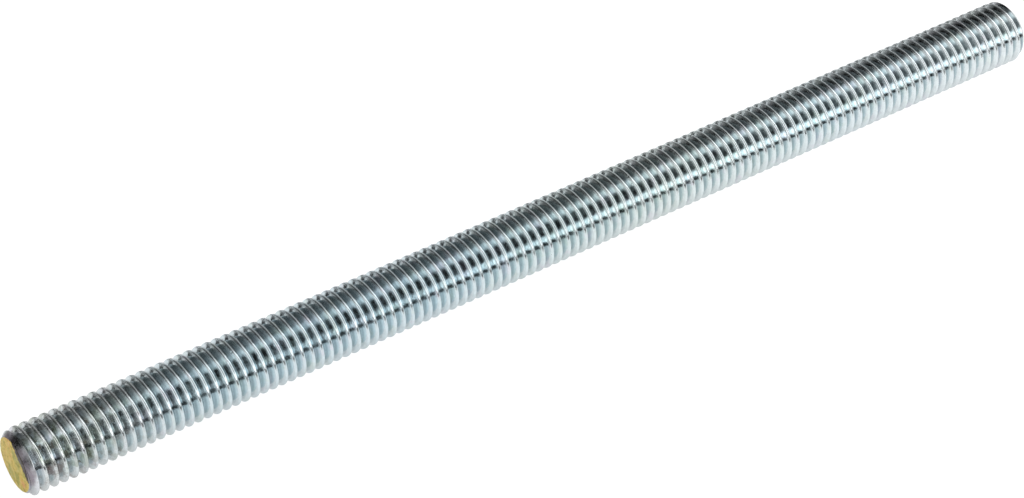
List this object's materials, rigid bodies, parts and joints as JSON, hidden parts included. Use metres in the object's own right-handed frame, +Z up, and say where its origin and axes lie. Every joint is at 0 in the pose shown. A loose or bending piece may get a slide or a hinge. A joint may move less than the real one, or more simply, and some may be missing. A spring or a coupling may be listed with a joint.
{
  "type": "threaded rod",
  "caption": "Fully threaded metric steel rod, cut to length, with chamfered ends and a painted strength mark on one end face.",
  "frame": {"origin": "middle of the rod's length, on the floor line under its axis", "axes": "+X along the rod away from the painted end, +Z up, +Y across"},
  "size_m": [0.175, 0.0098, 0.0099],
  "materials": {
    "zinc_plate": "bright zinc plate on rolled thread, cool grey, glossy",
    "end_paint": "thin ochre yellow paint on one end face, slightly uneven, satin"
  },
  "bodies": {
    "root": {"threaded_rod": "zinc_plate"}
  },
  "joints": []
}
